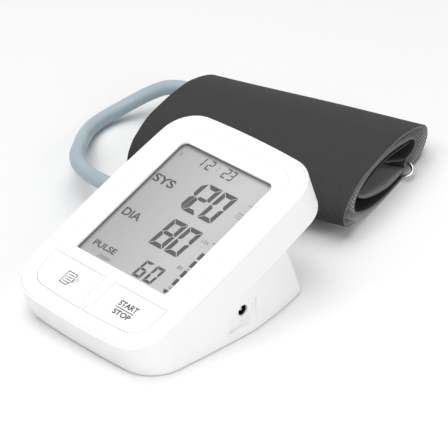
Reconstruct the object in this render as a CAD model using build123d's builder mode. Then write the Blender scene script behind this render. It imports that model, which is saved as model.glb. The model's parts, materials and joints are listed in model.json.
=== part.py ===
"""Upper arm blood pressure monitor: desk unit, air hose and rolled arm cuff.

Millimetres. The origin is on the table under the middle of the desk unit, +X to
its right, +Y to its back, +Z up. The face of the unit is tilted, so most of its
pieces are drawn on the face plane and measured by their depth behind it.
"""
from build123d import *
from math import cos, pi, radians, sin, tan
import os

os.makedirs("parts", exist_ok=True)

# Housing: the tilted face and the walls that run back from it
face_tilt = 23.0
face_y = 5.0
face_height = 49.0
half_width = 50.8
top_length = 60.1
front_length = 77.9
housing_corner = 19.0
edge_bow = 2.2
wall_draft = 2.0
wall = 2.2
slab_depth = 21.0
rim_width = 1.5
rim_radius = 0.9
form_reach = 90.0

# Base under the back of the slab, as its sides and rear run on the face plane
base_flare = 0.4
base_turn = -15.5
waist_margin = 3.7
waist_y = 8.4
base_rear_margin = 10.3
base_rear = 32.5
base_corner = 9.5

# Fits
seat_gap = 0.1
key_gap = 0.3
running_gap = 0.06
door_gap = 0.3
panel_gap = 0.2
bezel_gap = 0.2

# Front panel, lens and keys
panel_thickness = 2.4
lens_margin = 9.4
lens_half = half_width - lens_margin
lens_top_margin = 8.9
lens_top = top_length - lens_top_margin
lens_front_margin = 9.2
lens_front = front_length - lens_front_margin
lens_corner = 11.0
lens_bow = 1.7
bezel_thickness = 1.2
window_margin = 8.85
window_half_width = lens_half - window_margin
window_half_height = 40.5
window_foot_margin = 6.6
lens_foot = window_half_height + window_foot_margin
window_top_corner = 3.9
window_foot_corner = 0.95
pane_margin = 1.6
pane_thickness = 1.0
rib_centre = 0.3
rib_half = 3.5
rib_neck_half = 0.8
rib_tab_length = 15.9
rib_shoulder = lens_foot + rib_tab_length
rib_shoulder_length = 2.4
rib_neck = rib_shoulder + rib_shoulder_length
key_travel = 0.5
key_flange = 0.6
key_flange_thickness = 0.9
key_stem_radius = 2.6
key_stem_u = lens_half / 2
key_stem_v = -(lens_foot + lens_front) / 2

# Display and circuit board
display_margin = 3.45
cell_half_width = window_half_width + display_margin
cell_half_height = window_half_height + display_margin
cell_thickness = 2.4
holder_wall = 1.4
holder_ledge = 2.2
board_depth = 9.0
board_thickness = 1.6
board_margin = 7.3
board_half_width = half_width - board_margin
board_top_margin = 14.1
board_top = top_length - board_top_margin
board_front_margin = 6.4
board_front = front_length - board_front_margin
board_corner = 13.0
post_margin = 10.2
post_u = half_width - post_margin
post_v = window_half_height
post_radius = 2.2
board_screw_radius = 0.9
board_screw_head = 1.9
board_screw_head_height = 1.2
board_screw_length = 4.0
connector_width = 2.2
connector_margin = 6.0
connector_length = 2 * (cell_half_width - connector_margin)
switch_size = 6.0
switch_height = 2.0
plunger_radius = 1.6
plunger_height = 0.9
chip_u = -20.0
chip_v = -20.0
chip_size = 14.0
chip_height = 1.4
capacitor_places = [(8.0, -28.0), (17.0, -28.0)]
capacitor_radius = 3.15
capacitor_height = 6.5
sensor_u = 8.0
sensor_v = -12.0
sensor_size = 8.0
sensor_height = 4.0
sensor_port_radius = 1.4
sensor_port_height = 2.2
buzzer_u = -24.0
buzzer_v = -46.0
buzzer_radius = 6.0
buzzer_height = 5.5
buzzer_hole = 1.0

# Bottom cover, feet and battery bay
foot_height = 0.6
foot_radius = 4.5
foot_front_margin = 13.8
foot_front_y = -44.0
foot_rear_margin = 16.8
foot_rear_y = 42.0
cover_thickness = 1.8
cover_inset = 0.3
lip_height = 2.2
lip_wall = 1.2
screw_front_margin = 6.6
screw_front_y = -28.0
screw_rear_margin = 9.6
screw_rear_y = 26.0
screw_radius = 1.25
screw_head_radius = 2.8
screw_head_height = 1.7
screw_length = 12.0
screw_boss_radius = 4.3
screw_post_radius = 3.6
screw_post_height = 12.0
cell_radius = 7.1
cell_length = 50.5
cell_count = 4
cell_pitch = 14.7
cell_room = 0.2
bay_end_room = 3.4
bay_wall = 2.2
bay_front_y = -13.6
door_rail = 1.0
grip_count = 5
grip_pitch = 2.4
grip_length = 18.0
grip_width = 1.0
nub_radius = 2.6
nub_length = 1.0
spring_radius = 4.2
spring_tip_radius = 2.2
spring_wall = 0.5
contact_thickness = 0.4
contact_size = 9.0

# Sockets in the walls
jack_y = 7.4
jack_height = 13.3
jack_ring_radius = 5.6
jack_ring_depth = 0.9
jack_hole_radius = 2.95
jack_hole_chamfer = 0.5
jack_bore_radius = 2.8
jack_depth = 6.8
jack_body = 9.6
jack_body_length = 10.4
jack_pin_radius = 1.05
jack_pin_setback = 0.5
jack_pad_thickness = 2.2
jack_pad_margin = 2.0
recess_back_y = 14.4
recess_front_y = -5.6
recess_low = 5.6
recess_high = 19.6
recess_cut = 3.0
recess_floor = half_width - waist_margin
socket_y = 32.0
socket_height = 24.0
socket_margin = 5.4
socket_collar_x = half_width - socket_margin
socket_collar_radius = 5.4
socket_collar_depth = 1.6
socket_pad_radius = 7.0
socket_pad_depth = 4.0
socket_pad_step = 0.8
socket_tube_radius = 4.0
socket_bore_radius = 2.6
socket_bore_depth = 12.0
socket_nipple_length = 4.0
nipple_radius = 1.7
nipple_bore = 0.8

# Pump, valve and air tubes
pump_y = 26.0
pump_radius = 11.8
pump_end_x = -17.5
pump_head_length = 17.0
motor_radius = 10.4
motor_length = 24.0
motor_boss_radius = 3.0
motor_boss_length = 1.6
pad_thickness = 1.6
pad_width = 18.9
valve_y = 27.0
valve_size = 13.0
valve_gap = 0.4
valve_height = 17.0
manifold_y = 3.0
manifold_half_length = 12.0
manifold_radius = 3.4
air_nipple_length = 2.4
tube_radius = 2.5
tube_bend = 3.5
socket_tube_x = -22.0

# Hose and its plug
hose_radius = 4.2
hose_last_run = 12.5
plug_grip_radius = 5.4
plug_grip_length = 13.0
plug_ribs = 5
plug_rib_height = 0.35
plug_nose_radius = 2.5
plug_nose_length = 11.0

# Cuff: its axis lies flat on the table, turned a little from the X axis
cuff_turn = 19.4
cuff_width = 129.0
cuff_start = -73.4
cuff_across = 148.5
shell_thickness = 1.5
lining_thickness = 0.8
bladder_thickness = 1.1
bladder_margin = 7.0
ply_steps = 12
flap_thickness = 1.0
tape_thickness = 1.1
bar_wire = 0.95
bar_loop_radius = 2.1
bar_end_gap = 1.0
tape_start = 12.0
port_radius = 5.2
port_length = 3.0
port_across = 29.9
port_height = 21.0

# Runs of the inner plies, as shares of the inner turn's length
bladder_run = (0.48, 0.83)
lining_run = (0.468, 0.845)
tongue_run = (0.815, 0.862)

# Cuff section as (across, height): the bar's two rails, the hem under the lower one,
# the inner turn, the outer turn from the upper rail, and the plies sewn inside
upper_rail = (27.0, 7.5)
lower_rail = (20.5, shell_thickness / 2 + bar_loop_radius)
hem_points = [(-37.5, 19.2), (-15.7, 9.8), (2.5, 5.6)]
inner_turn = [
    (11.5, 0.75),
    (2.9, 0.9),
    (-25.4, 5.2),
    (-39.5, 10.4),
    (-43.9, 15.2),
    (-40.8, 21.4),
    (-26.9, 26.0),
    (-10.3, 26.9),
    (6.6, 25.6),
    (23.9, 22.5),
    (36.0, 19.0),
    (39.6, 14.4),
    (36.0, 10.4),
]
outer_turn = [
    (37.6, 2.6),
    (49.0, 3.8),
    (56.6, 11.4),
    (51.6, 18.8),
    (23.3, 27.1),
    (0.4, 29.05),
    (-32.4, 28.4),
    (-52.0, 22.2),
    (-57.0, 15.6),
    (-52.4, 9.2),
    (-42.0, 6.0),
]
flap_points = [(26.0, 11.2), (12.0, 16.4), (-3.0, 23.0)]
tape_points = [(-50.8, 21.0), (-45.8, 23.7), (-40.0, 25.3)]

# Corners of the hose's route between the plug and the last run into the port
hose_corners = [
    (-78.2, 32.0, 24.0),
    (-100.4, 34.5, 21.4),
    (-121.0, 44.4, 18.9),
    (-136.5, 63.8, 16.8),
    (-149.5, 74.6, 8.2),
    (-163.3, 94.3, 4.5),
    (-163.8, 116.6, 6.7),
    (-154.0, 132.4, 15.7),
]

tilt = radians(face_tilt)
face = Plane(
    origin=(0, face_y, face_height),
    x_dir=(1, 0, 0),
    z_dir=(0, -sin(tilt), cos(tilt)),
)
cover_bottom = foot_height
cover_top = cover_bottom + cover_thickness


def behind_face(depth):
    """The plane parallel to the face, at a depth behind it."""
    return face.offset(-depth)


def on_face(u, v, depth):
    """The point at (u, v) on the face plane, carried back by a depth."""
    return face.from_local_coords((u, v, -depth))


def save(part, name):
    """Label a finished piece and write it as its own file."""
    part.label = name
    export_step(part, f"parts/{name}.step")


# Outlines on the face plane


def bowed_outline(half, top, front, corner, bow):
    """A rounded rectangle whose four sides bow gently outwards."""
    side = half - bow
    middle = (top - front) / 2
    with BuildSketch() as outline:
        with BuildLine():
            ThreePointArc((-side, top - bow), (0, top), (side, top - bow))
            ThreePointArc((side, top - bow), (half, middle), (side, bow - front))
            ThreePointArc((side, bow - front), (0, -front), (-side, bow - front))
            ThreePointArc((-side, bow - front), (-half, middle), (-side, top - bow))
        make_face()
        fillet(outline.vertices(), radius=corner)
    return outline.sketch


def housing_outline(inset):
    """The outline of the whole face, drawn in from its edge."""
    return bowed_outline(
        half_width - inset,
        top_length - inset,
        front_length - inset,
        housing_corner - inset,
        edge_bow,
    )


def lens_outline(inset):
    """The shallow recess that holds the lens and the two keys."""
    return bowed_outline(
        lens_half - inset, lens_top - inset, lens_front - inset, lens_corner - inset, lens_bow
    )


def base_outline(inset):
    """The base: as wide as the face in front, drawn in behind the turn."""
    reach = half_width + base_flare - inset
    middle = (half_width - waist_margin - inset, waist_y)
    rear_half = half_width - base_rear_margin - inset
    rear = base_rear - inset
    beyond = -front_length - housing_corner
    with BuildSketch() as outline:
        with BuildLine():
            Line((-reach, beyond), (reach, beyond))
            Line((reach, beyond), (reach, base_turn))
            ThreePointArc((reach, base_turn), middle, (rear_half, rear))
            Line((rear_half, rear), (-rear_half, rear))
            ThreePointArc((-rear_half, rear), (-middle[0], middle[1]), (-reach, base_turn))
            Line((-reach, base_turn), (-reach, beyond))
        make_face()
        fillet(outline.vertices().group_by(Axis.Y)[-1], radius=base_corner - inset)
    return outline.sketch


def window_outline(margin):
    """The display window, with a larger radius at its two upper corners."""
    with BuildSketch() as outline:
        Rectangle(2 * (window_half_width + margin), 2 * (window_half_height + margin))
        fillet(outline.vertices().group_by(Axis.Y)[-1], radius=window_top_corner)
        fillet(outline.vertices().group_by(Axis.Y)[0], radius=window_foot_corner)
    return outline.sketch


def rib_outline(growth):
    """The rib between the keys: a broad tab that narrows by an S to a neck."""
    broad = rib_half + growth
    neck = rib_neck_half + growth
    middle = (rib_shoulder + rib_neck) / 2
    past = lens_front + rim_width
    with BuildSketch() as outline:
        with BuildLine():
            Line((-broad, -lens_foot + growth), (broad, -lens_foot + growth))
            Line((broad, -lens_foot + growth), (broad, -rib_shoulder))
            Spline(
                (broad, -rib_shoulder),
                ((broad + neck) / 2, -middle),
                (neck, -rib_neck),
                tangents=[(0, -1), (0, -1)],
            )
            Line((neck, -rib_neck), (neck, -past))
            Line((neck, -past), (-neck, -past))
            Line((-neck, -past), (-neck, -rib_neck))
            Spline(
                (-neck, -rib_neck),
                (-(broad + neck) / 2, -middle),
                (-broad, -rib_shoulder),
                tangents=[(0, 1), (0, 1)],
            )
            Line((-broad, -rib_shoulder), (-broad, -lens_foot + growth))
        make_face()
    return outline.sketch.moved(Location((rib_centre, 0, 0)))


def key_outline(side, gap):
    """One key: the half of the recess below the lens, clear of the rib."""
    with BuildSketch() as outline:
        add(lens_outline(gap))
        with Locations((0, half_width - lens_foot - gap)):
            Rectangle(4 * half_width, 2 * half_width, mode=Mode.SUBTRACT)
        add(rib_outline(gap), mode=Mode.SUBTRACT)
        with Locations((rib_centre - side * half_width, -lens_front)):
            Rectangle(2 * half_width, 4 * lens_front, mode=Mode.SUBTRACT)
    return outline.sketch


# Forms of the housing


def housing_form(inset, top_depth, bottom_depth, floor):
    """The slab with its base, drawn in by an inset and cut flat at a floor height."""
    with BuildPart() as base:
        with BuildSketch(face):
            add(housing_outline(inset))
        extrude(amount=-form_reach, taper=wall_draft)
        with BuildSketch(face):
            add(base_outline(inset))
        extrude(amount=-form_reach, taper=wall_draft, mode=Mode.INTERSECT)
    with BuildPart() as form:
        with BuildSketch(face):
            add(housing_outline(inset))
        extrude(amount=-form_reach, taper=wall_draft)
        split(bisect_by=behind_face(bottom_depth), keep=Keep.TOP)
        add(base.part)
        split(bisect_by=behind_face(top_depth), keep=Keep.BOTTOM)
        split(bisect_by=Plane.XY.offset(floor), keep=Keep.TOP)
    return form.part


def mirrored(x, y):
    """A place and its mirror image across the middle of the unit."""
    return [(x, y), (-x, y)]


front_screws = mirrored(half_width - screw_front_margin, screw_front_y)
rear_screws = mirrored(half_width - screw_rear_margin, screw_rear_y)
screw_places = front_screws + rear_screws
front_feet = mirrored(half_width - foot_front_margin, foot_front_y)
rear_feet = mirrored(half_width - foot_rear_margin, foot_rear_y)
foot_places = front_feet + rear_feet

# The two sockets look out along X, so their profiles lie on YZ planes
jack_plane = Plane(origin=(recess_floor, jack_y, jack_height), x_dir=(0, 1, 0), z_dir=(1, 0, 0))
socket_plane = Plane(
    origin=(-socket_collar_x, socket_y, socket_height), x_dir=(0, -1, 0), z_dir=(-1, 0, 0)
)

# Main housing: walls of the slab and the base in one moulding
screw_boss_top = cover_top + lip_height
pad_middle_y = (recess_front_y + recess_back_y) / 2
pad_width = recess_back_y - recess_front_y + 2 * jack_pad_margin
pad_reach = recess_high + jack_pad_margin - screw_boss_top - seat_gap
with BuildPart() as main_housing:
    add(housing_form(0, 0, slab_depth, cover_top))
    rim_edges = main_housing.faces().sort_by(Axis(face.origin, face.z_dir))[-1].edges()
    fillet(rim_edges, radius=rim_radius)
    with BuildSketch(face):
        add(housing_outline(rim_width))
    extrude(amount=-panel_thickness, mode=Mode.SUBTRACT)
    add(
        housing_form(wall, panel_thickness - rim_radius, slab_depth - wall, -form_reach),
        mode=Mode.SUBTRACT,
    )
    with BuildSketch(Plane.YZ.offset(recess_floor)):
        with Locations((pad_middle_y, screw_boss_top + seat_gap)):
            Rectangle(pad_width, pad_reach, align=(Align.CENTER, Align.MIN))
    extrude(amount=-jack_pad_thickness)
    with BuildSketch(socket_plane.offset(-socket_pad_step)):
        Circle(socket_pad_radius)
    extrude(amount=-socket_pad_depth)
    with BuildSketch(Plane.XY.offset(screw_boss_top)):
        with Locations(*screw_places):
            Circle(screw_post_radius)
    extrude(amount=screw_post_height)
    with BuildSketch(Plane.XY.offset(screw_boss_top)):
        with Locations(*screw_places):
            Circle(screw_radius + running_gap)
    extrude(amount=screw_post_height - wall, mode=Mode.SUBTRACT)
    with BuildSketch(Plane.YZ.offset(recess_floor)):
        with BuildLine():
            Polyline(
                (recess_front_y, recess_low),
                (recess_back_y - recess_cut, recess_low),
                (recess_back_y, recess_low + recess_cut),
                (recess_back_y, recess_high),
                (recess_front_y, recess_high),
                close=True,
            )
        make_face()
    extrude(amount=half_width, mode=Mode.SUBTRACT)
    with BuildSketch(jack_plane):
        Circle(jack_ring_radius)
    extrude(amount=-jack_ring_depth, mode=Mode.SUBTRACT)
    with BuildSketch(jack_plane):
        Circle(jack_hole_radius)
    extrude(amount=-half_width / 2, mode=Mode.SUBTRACT)
    with Locations(jack_plane.offset(-jack_ring_depth)):
        Cone(
            jack_hole_radius,
            jack_hole_radius + jack_hole_chamfer,
            jack_hole_chamfer,
            align=(Align.CENTER, Align.CENTER, Align.MAX),
            mode=Mode.SUBTRACT,
        )
    with BuildSketch(socket_plane):
        Circle(socket_tube_radius + seat_gap)
    extrude(amount=-half_width / 2, mode=Mode.SUBTRACT)
    with BuildSketch(socket_plane.offset(-socket_collar_depth)):
        Circle(socket_collar_radius + seat_gap)
    extrude(amount=half_width / 2, mode=Mode.SUBTRACT)
save(main_housing.part, "main_housing")

# Front panel: the flat border, the lens recess, the rib and the board posts
with BuildPart() as front_panel:
    with BuildSketch(face):
        add(housing_outline(rim_width + panel_gap))
    extrude(amount=-panel_thickness)
    with BuildSketch(face):
        add(lens_outline(0))
    extrude(amount=-bezel_thickness, mode=Mode.SUBTRACT)
    with BuildSketch(face):
        add(window_outline(pane_margin + seat_gap))
    extrude(amount=-panel_thickness, mode=Mode.SUBTRACT)
    for side in (-1, 1):
        with BuildSketch(face):
            add(key_outline(side, 0))
        extrude(amount=-panel_thickness, mode=Mode.SUBTRACT)
    with BuildSketch(face):
        add(rib_outline(0))
        add(lens_outline(-rim_width), mode=Mode.INTERSECT)
    extrude(amount=-panel_thickness)
    with BuildSketch(behind_face(panel_thickness)):
        with Locations(*mirrored(post_u, post_v), *mirrored(post_u, -post_v)):
            Circle(post_radius)
    extrude(amount=-(board_depth - panel_thickness))
    with BuildSketch(behind_face(board_depth)):
        with Locations(*mirrored(post_u, post_v), *mirrored(post_u, -post_v)):
            Circle(board_screw_radius + running_gap)
    extrude(amount=board_screw_length, mode=Mode.SUBTRACT)
save(front_panel.part, "front_panel")

# Bezel: the white plate that frames the display
with BuildPart() as display_bezel:
    with BuildSketch(face):
        add(lens_outline(bezel_gap))
        with Locations((0, -half_width - lens_foot)):
            Rectangle(4 * half_width, 2 * half_width, mode=Mode.SUBTRACT)
        add(window_outline(0), mode=Mode.SUBTRACT)
    extrude(amount=-bezel_thickness)
save(display_bezel.part, "display_bezel")

with BuildPart() as window_pane:
    with BuildSketch(behind_face(bezel_thickness)):
        add(window_outline(pane_margin))
    extrude(amount=-pane_thickness)
save(window_pane.part, "window_pane")

# Keys: a flush cap, a flange that stops it under the panel, and a stem
flange_depth = panel_thickness + seat_gap
plunger_depth = board_depth - switch_height - plunger_height
for side, key_name in ((-1, "memory_key"), (1, "start_key")):
    with BuildPart() as key:
        with BuildSketch(face):
            add(key_outline(side, key_gap))
        extrude(amount=-flange_depth)
        with BuildSketch(behind_face(flange_depth)):
            add(key_outline(side, -key_flange))
        extrude(amount=-key_flange_thickness)
        with BuildSketch(behind_face(flange_depth)):
            with Locations((side * key_stem_u, key_stem_v)):
                Circle(key_stem_radius)
        extrude(amount=-(plunger_depth - flange_depth))
    save(key.part, key_name)

# Display cell, the frame that holds it to the panel, and its two contact strips
cell_depth = panel_thickness + seat_gap
holder_half_width = cell_half_width + seat_gap + holder_wall
holder_half_height = cell_half_height + seat_gap + holder_wall
with BuildPart() as display_cell:
    with BuildSketch(behind_face(cell_depth)):
        Rectangle(2 * cell_half_width, 2 * cell_half_height)
    extrude(amount=-cell_thickness)
save(display_cell.part, "display_cell")

with BuildPart() as display_holder:
    with BuildSketch(behind_face(cell_depth)):
        Rectangle(2 * holder_half_width, 2 * holder_half_height)
        Rectangle(
            2 * (cell_half_width + seat_gap), 2 * (cell_half_height + seat_gap), mode=Mode.SUBTRACT
        )
    extrude(amount=-(board_depth - cell_depth))
    with BuildSketch(behind_face(cell_depth + cell_thickness)):
        Rectangle(2 * holder_half_width, 2 * holder_half_height)
        Rectangle(
            2 * (cell_half_width - holder_ledge),
            2 * (cell_half_height - holder_ledge - connector_width),
            mode=Mode.SUBTRACT,
        )
        for side in (-1, 1):
            with Locations((0, side * (cell_half_height - holder_ledge))):
                Rectangle(
                    connector_length + seat_gap, connector_width + seat_gap, mode=Mode.SUBTRACT
                )
    extrude(amount=-(board_depth - cell_depth - cell_thickness))
save(display_holder.part, "display_holder")

with BuildPart() as contact_strips:
    with BuildSketch(behind_face(cell_depth + cell_thickness)):
        for side in (-1, 1):
            with Locations((0, side * (cell_half_height - holder_ledge))):
                Rectangle(connector_length, connector_width)
    extrude(amount=-(board_depth - cell_depth - cell_thickness))
save(contact_strips.part, "contact_strips")

# Circuit board, with slots cut by the screws that hold it to the panel posts
board_back = board_depth + board_thickness
with BuildPart() as main_board:
    with BuildSketch(behind_face(board_depth)) as board_face:
        with Locations((0, (board_top - board_front) / 2)):
            Rectangle(2 * board_half_width, board_top + board_front)
        fillet(board_face.vertices().group_by(Axis.Y)[0], radius=board_corner)
        with Locations(*mirrored(post_u, post_v), *mirrored(post_u, -post_v)):
            Circle(board_screw_radius + seat_gap, mode=Mode.SUBTRACT)
    extrude(amount=-board_thickness)
save(main_board.part, "main_board")

with BuildPart() as board_screws:
    with BuildSketch(behind_face(board_back)):
        with Locations(*mirrored(post_u, post_v), *mirrored(post_u, -post_v)):
            Circle(board_screw_head)
    extrude(amount=-board_screw_head_height)
    with BuildSketch(behind_face(board_back)):
        with Locations(*mirrored(post_u, post_v), *mirrored(post_u, -post_v)):
            Circle(board_screw_radius)
    extrude(amount=board_screw_length)
save(board_screws.part, "board_screws")

# Press switches under the keys, each with the plunger that its key pushes
for side, switch_name, plunger_name in (
    (-1, "memory_switch", "memory_plunger"),
    (1, "start_switch", "start_plunger"),
):
    with BuildPart() as switch:
        with BuildSketch(behind_face(board_depth)):
            with Locations((side * key_stem_u, key_stem_v)):
                Rectangle(switch_size, switch_size)
        extrude(amount=switch_height)
        with BuildSketch(behind_face(board_depth - switch_height)):
            with Locations((side * key_stem_u, key_stem_v)):
                Circle(plunger_radius + running_gap)
        extrude(amount=-(2 * key_travel), mode=Mode.SUBTRACT)
    save(switch.part, switch_name)
    with BuildPart() as plunger:
        with BuildSketch(behind_face(board_depth - switch_height)):
            with Locations((side * key_stem_u, key_stem_v)):
                Circle(plunger_radius)
        extrude(amount=plunger_height)
        with BuildSketch(behind_face(board_depth - switch_height)):
            with Locations((side * key_stem_u, key_stem_v)):
                Circle(plunger_radius)
        extrude(amount=-key_travel / 2)
    save(plunger.part, plunger_name)

# Parts on the back of the board
with BuildPart() as controller_chip:
    with BuildSketch(behind_face(board_back)):
        with Locations((chip_u, chip_v)):
            Rectangle(chip_size, chip_size)
    extrude(amount=-chip_height)
    chamfer(controller_chip.faces().sort_by(Axis(face.origin, face.z_dir))[0].edges(), chip_height / 4)
save(controller_chip.part, "controller_chip")

with BuildPart() as capacitors:
    with BuildSketch(behind_face(board_back)):
        with Locations(*capacitor_places):
            Circle(capacitor_radius)
    extrude(amount=-capacitor_height)
save(capacitors.part, "capacitors")

with BuildPart() as pressure_sensor:
    with BuildSketch(behind_face(board_back)):
        with Locations((sensor_u, sensor_v)):
            Rectangle(sensor_size, sensor_size)
    extrude(amount=-sensor_height)
    with BuildSketch(behind_face(board_back + sensor_height)):
        with Locations((sensor_u, sensor_v)):
            Circle(sensor_port_radius)
    extrude(amount=-sensor_port_height)
save(pressure_sensor.part, "pressure_sensor")

with BuildPart() as buzzer:
    with BuildSketch(behind_face(board_back)):
        with Locations((buzzer_u, buzzer_v)):
            Circle(buzzer_radius)
    extrude(amount=-buzzer_height)
    with BuildSketch(behind_face(board_back + buzzer_height)):
        with Locations((buzzer_u, buzzer_v)):
            Circle(buzzer_hole)
    extrude(amount=buzzer_height / 2, mode=Mode.SUBTRACT)
save(buzzer.part, "buzzer")

# Bottom cover: plate, locating lip, screw bosses and the battery bay, open downwards
bay_half = cell_length / 2 + bay_end_room
bay_depth = cell_count * cell_pitch
bay_middle_y = bay_front_y + bay_depth / 2
bay_top = cover_top + 2 * cell_radius + 2 * cell_room
bay_ceiling = bay_top + bay_wall
door_thickness = cover_thickness / 2
door_half = bay_half + door_gap
slot_length = form_reach
with BuildPart() as cover_inside:
    add(housing_form(wall + door_gap, slab_depth / 2, slab_depth, cover_top))
    split(bisect_by=Plane.XY.offset(screw_boss_top), keep=Keep.BOTTOM)
    add(
        housing_form(wall + door_gap + lip_wall, slab_depth / 3, slab_depth, -form_reach),
        mode=Mode.SUBTRACT,
    )
    with BuildSketch(Plane.XY.offset(cover_top)):
        with Locations(*screw_places):
            Circle(screw_boss_radius)
    extrude(amount=lip_height)
    with BuildSketch(Plane.XY.offset(cover_top)):
        with Locations((0, bay_middle_y)):
            Rectangle(2 * (bay_half + bay_wall), bay_depth + 2 * bay_wall)
    extrude(amount=bay_ceiling - cover_top)
    add(housing_form(wall + door_gap, slab_depth / 3, slab_depth, cover_top), mode=Mode.INTERSECT)
with BuildPart() as bottom_cover:
    add(housing_form(cover_inset, slab_depth / 2, slab_depth, cover_bottom))
    split(bisect_by=Plane.XY.offset(cover_top), keep=Keep.BOTTOM)
    add(cover_inside.part)
    with BuildSketch(Plane.XY.offset(cover_top)):
        with Locations((0, bay_middle_y)):
            Rectangle(2 * bay_half, bay_depth)
    extrude(amount=bay_top - cover_top, mode=Mode.SUBTRACT)
    with BuildSketch(Plane.XY.offset(cover_bottom)):
        with Locations((0, bay_front_y + slot_length / 2)):
            Rectangle(2 * door_half, slot_length)
    extrude(amount=cover_thickness, mode=Mode.SUBTRACT)
    with BuildSketch(Plane.XY.offset(cover_bottom + door_thickness)):
        with Locations((0, bay_front_y - door_rail + slot_length / 2)):
            Rectangle(2 * (door_half + door_rail), slot_length)
    extrude(amount=door_thickness, mode=Mode.SUBTRACT)
    with BuildSketch(Plane.XY.offset(cover_bottom)):
        with Locations(*screw_places):
            Circle(screw_head_radius + seat_gap)
    extrude(amount=screw_head_height, mode=Mode.SUBTRACT)
    with BuildSketch(Plane.XY.offset(cover_bottom)):
        with Locations(*screw_places):
            Circle(screw_radius + seat_gap)
    extrude(amount=cover_thickness + lip_height, mode=Mode.SUBTRACT)
save(bottom_cover.part, "bottom_cover")

# Battery door: a plate whose wider upper step runs in the cover's rails
with BuildPart() as battery_door:
    with BuildSketch(Plane.XY.offset(cover_bottom)):
        with Locations((0, bay_front_y + door_gap + slot_length / 2)):
            Rectangle(2 * (door_half - door_gap), slot_length)
    extrude(amount=door_thickness + running_gap)
    with BuildSketch(Plane.XY.offset(cover_bottom + door_thickness + running_gap)):
        with Locations((0, bay_front_y + door_gap - door_rail + slot_length / 2)):
            Rectangle(2 * (door_half + door_rail - door_gap), slot_length)
    extrude(amount=door_thickness - 2 * running_gap)
    add(
        housing_form(cover_inset, slab_depth / 2, slab_depth, cover_bottom),
        mode=Mode.INTERSECT,
    )
    with BuildSketch(Plane.XY.offset(cover_bottom)):
        with GridLocations(0, grip_pitch, 1, grip_count):
            Rectangle(grip_length, grip_width)
    extrude(amount=door_thickness / 2, mode=Mode.SUBTRACT)
save(battery_door.part, "battery_door")

# Four cells side by side, turned about, with a plate and a spring at their ends
nub_side = [1 if index % 2 == 0 else -1 for index in range(cell_count)]
cell_y = [bay_front_y + (index + 0.5) * cell_pitch for index in range(cell_count)]
cell_z = cover_top + cell_radius + cell_room
body_length = cell_length - nub_length
for index in range(cell_count):
    side = nub_side[index]
    end_plane = Plane(
        origin=(-side * cell_length / 2, cell_y[index], cell_z),
        x_dir=(0, 1, 0),
        z_dir=(side, 0, 0),
    )
    with BuildPart() as battery:
        with BuildSketch(end_plane):
            Circle(cell_radius)
        extrude(amount=body_length)
        fillet(battery.edges().filter_by(GeomType.CIRCLE), radius=nub_length / 2)
        with BuildSketch(end_plane.offset(body_length)):
            Circle(nub_radius)
        extrude(amount=nub_length)
    save(battery.part, f"battery_{index + 1}")

with BuildPart() as contact_plates:
    for index in range(cell_count):
        side = nub_side[index]
        with BuildSketch(Plane.YZ.offset(side * bay_half)):
            with Locations((cell_y[index], cell_z)):
                RectangleRounded(contact_size, contact_size, contact_thickness)
        extrude(amount=-side * contact_thickness)
        with BuildSketch(Plane.YZ.offset(side * (bay_half - contact_thickness))):
            with Locations((cell_y[index], cell_z)):
                Circle(nub_radius)
        extrude(amount=-side * (bay_end_room - 2 * contact_thickness))
save(contact_plates.part, "contact_plates")

on_base = (Align.CENTER, Align.CENTER, Align.MIN)
spring_room = bay_end_room - 2 * contact_thickness
with BuildPart() as contact_springs:
    for index in range(cell_count):
        side = -nub_side[index]
        with BuildSketch(Plane.YZ.offset(side * bay_half)):
            with Locations((cell_y[index], cell_z)):
                RectangleRounded(contact_size, contact_size, contact_thickness)
        extrude(amount=-side * contact_thickness)
        spring_plane = Plane(
            origin=(side * (bay_half - contact_thickness), cell_y[index], cell_z),
            x_dir=(0, 1, 0),
            z_dir=(-side, 0, 0),
        )
        with Locations(spring_plane):
            Cone(spring_radius, spring_tip_radius, spring_room, align=on_base)
            Cone(
                spring_radius - spring_wall,
                spring_tip_radius - spring_wall,
                spring_room,
                align=on_base,
                mode=Mode.SUBTRACT,
            )
save(contact_springs.part, "contact_springs")

# Feet and the four screws that hold the cover to the housing posts
with BuildPart() as rubber_feet:
    with BuildSketch():
        with Locations(*foot_places):
            Circle(foot_radius)
    extrude(amount=foot_height)
    chamfer(rubber_feet.faces().filter_by(Axis.Z).group_by(Axis.Z)[0].edges(), foot_height / 3)
save(rubber_feet.part, "rubber_feet")

with BuildPart() as cover_screws:
    head_top = cover_bottom + screw_head_height
    with BuildSketch(Plane.XY.offset(head_top)):
        with Locations(*screw_places):
            Circle(screw_head_radius)
            RegularPolygon(screw_radius, 6, mode=Mode.SUBTRACT)
    extrude(amount=-(screw_head_height - seat_gap))
    with BuildSketch(Plane.XY.offset(head_top - 2 * seat_gap)):
        with Locations(*screw_places):
            Circle(screw_radius)
    extrude(amount=screw_length)
save(cover_screws.part, "cover_screws")

# Power socket: a moulded body behind the right wall's hole, and its centre pin
jack_mouth = jack_plane.offset(-jack_pad_thickness)
with BuildPart() as dc_jack:
    with BuildSketch(jack_mouth):
        Rectangle(jack_body, jack_body)
    extrude(amount=-jack_body_length)
    with BuildSketch(jack_mouth):
        Circle(jack_bore_radius)
    extrude(amount=-jack_depth, mode=Mode.SUBTRACT)
save(dc_jack.part, "dc_jack")

with BuildPart() as dc_jack_pin:
    with BuildSketch(jack_mouth.offset(-jack_depth)):
        Circle(jack_pin_radius)
    extrude(amount=jack_depth - jack_pin_setback)
    fillet(dc_jack_pin.faces().sort_by(Axis.X)[-1].edges(), radius=jack_pin_radius / 2)
save(dc_jack_pin.part, "dc_jack_pin")

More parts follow.
